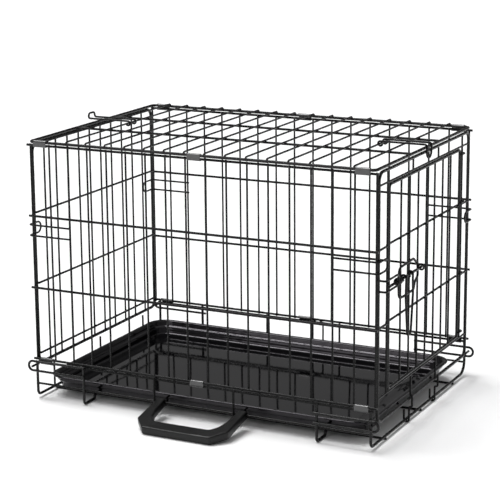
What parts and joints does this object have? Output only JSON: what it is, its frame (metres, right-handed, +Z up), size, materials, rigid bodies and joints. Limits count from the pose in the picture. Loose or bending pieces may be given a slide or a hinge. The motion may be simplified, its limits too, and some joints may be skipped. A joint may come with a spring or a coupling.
{
  "type": "wire dog crate",
  "caption": "Folding wire dog crate with hinged end panels, a swinging end door with slide latch, a plastic tray and a hinged carry handle.",
  "frame": {"origin": "centre of the wire box's footprint, on the floor", "axes": "+X towards the end with the door, +Y towards the long side without the carry handle, +Z up"},
  "size_m": [0.6351, 0.5153, 0.453],
  "materials": {
    "black_wire": "smooth black powder coat on steel wire",
    "black_clip": "black coated folded sheet steel",
    "tray_plastic": "glossy black moulded plastic with fine texture",
    "handle_plastic": "satin black moulded plastic"
  },
  "bodies": {
    "root": {"front_panel_uprights": "black_wire", "front_panel_rails": "black_wire", "back_panel_uprights": "black_wire", "back_panel_rails": "black_wire", "top_frame": "black_wire", "top_cross_wires": "black_wire", "top_long_wires": "black_wire", "base_end_rails": "black_wire", "base_foot_wires": "black_wire", "base_cross_wires": "black_wire", "back_rail_arch": "black_wire", "base_floor_wires": "black_wire", "base_side_rails": "black_wire", "left_pivot_loops": "black_wire", "right_pivot_loops": "black_wire", "front_lock_loops": "black_wire", "back_lock_loops": "black_wire", "front_top_clips": "black_clip", "back_top_clips": "black_clip", "front_bottom_clips": "black_clip", "back_bottom_clips": "black_clip"},
    "left_end": {"left_end_frame": "black_wire", "left_end_uprights": "black_wire", "left_end_rails": "black_wire", "left_pivot_pins": "black_wire"},
    "right_end": {"right_end_frame": "black_wire", "right_end_rails": "black_wire", "right_end_short_wires": "black_wire", "door_jambs": "black_wire", "right_pivot_pins": "black_wire", "latch_catch": "black_wire"},
    "door": {"door_frame": "black_wire", "door_uprights": "black_wire", "door_rails": "black_wire", "door_hinge_rings": "black_wire", "latch_guide_frame": "black_wire", "latch_guide_rings": "black_wire"},
    "bolt": {"latch_bolt": "black_wire"},
    "lever": {"latch_lever": "black_wire"},
    "tray": {"tray": "tray_plastic"},
    "stop_front": {"tray_stop_front": "black_wire"},
    "stop_rear": {"tray_stop_rear": "black_wire"},
    "lock_left": {"top_lock_left": "black_wire"},
    "lock_right": {"top_lock_right": "black_wire"},
    "handle": {"carry_handle": "handle_plastic"}
  },
  "joints": [
    {"name": "left_end_fold", "type": "hinge", "parent": "root", "child": "left_end", "pos_m": [-0.3046, 0, 0.057], "axis": [0, -1, 0], "range_deg": [-90, 0]},
    {"name": "right_end_fold", "type": "hinge", "parent": "root", "child": "right_end", "pos_m": [0.3046, 0, 0.0415], "axis": [0, 1, 0], "range_deg": [-90, 0]},
    {"name": "door_swing", "type": "hinge", "parent": "right_end", "child": "door", "pos_m": [0.3046, 0.166, 0.25], "axis": [0, 0, 1], "range_deg": [0, 120]},
    {"name": "latch_bolt_slide", "type": "slide", "parent": "door", "child": "bolt", "axis": [0, 1, 0], "range_m": [0, 0.034]},
    {"name": "latch_lever_turn", "type": "hinge", "parent": "bolt", "child": "lever", "pos_m": [0.3129, -0.1, 0.252], "axis": [0, -1, 0], "range_deg": [0, 90]},
    {"name": "tray_slide", "type": "slide", "parent": "root", "child": "tray", "axis": [1, 0, 0], "range_m": [0, 0.012]},
    {"name": "tray_stop_front_swing", "type": "hinge", "parent": "root", "child": "stop_front", "pos_m": [0.3, -0.062, 0.0062], "axis": [0, 1, 0], "range_deg": [0, 75]},
    {"name": "tray_stop_rear_swing", "type": "hinge", "parent": "root", "child": "stop_rear", "pos_m": [0.3, 0.054, 0.0062], "axis": [0, 1, 0], "range_deg": [0, 75]},
    {"name": "top_lock_left_lift", "type": "hinge", "parent": "root", "child": "lock_left", "pos_m": [-0.2327, 0.002, 0.43935], "axis": [0, 1, 0], "range_deg": [0, 35]},
    {"name": "top_lock_right_lift", "type": "hinge", "parent": "root", "child": "lock_right", "pos_m": [0.2327, -0.006, 0.43935], "axis": [0, -1, 0], "range_deg": [0, 35]},
    {"name": "handle_swing", "type": "hinge", "parent": "root", "child": "handle", "pos_m": [0, -0.2062, 0.025], "axis": [-1, 0, 0], "range_deg": [0, 82]}
  ]
}
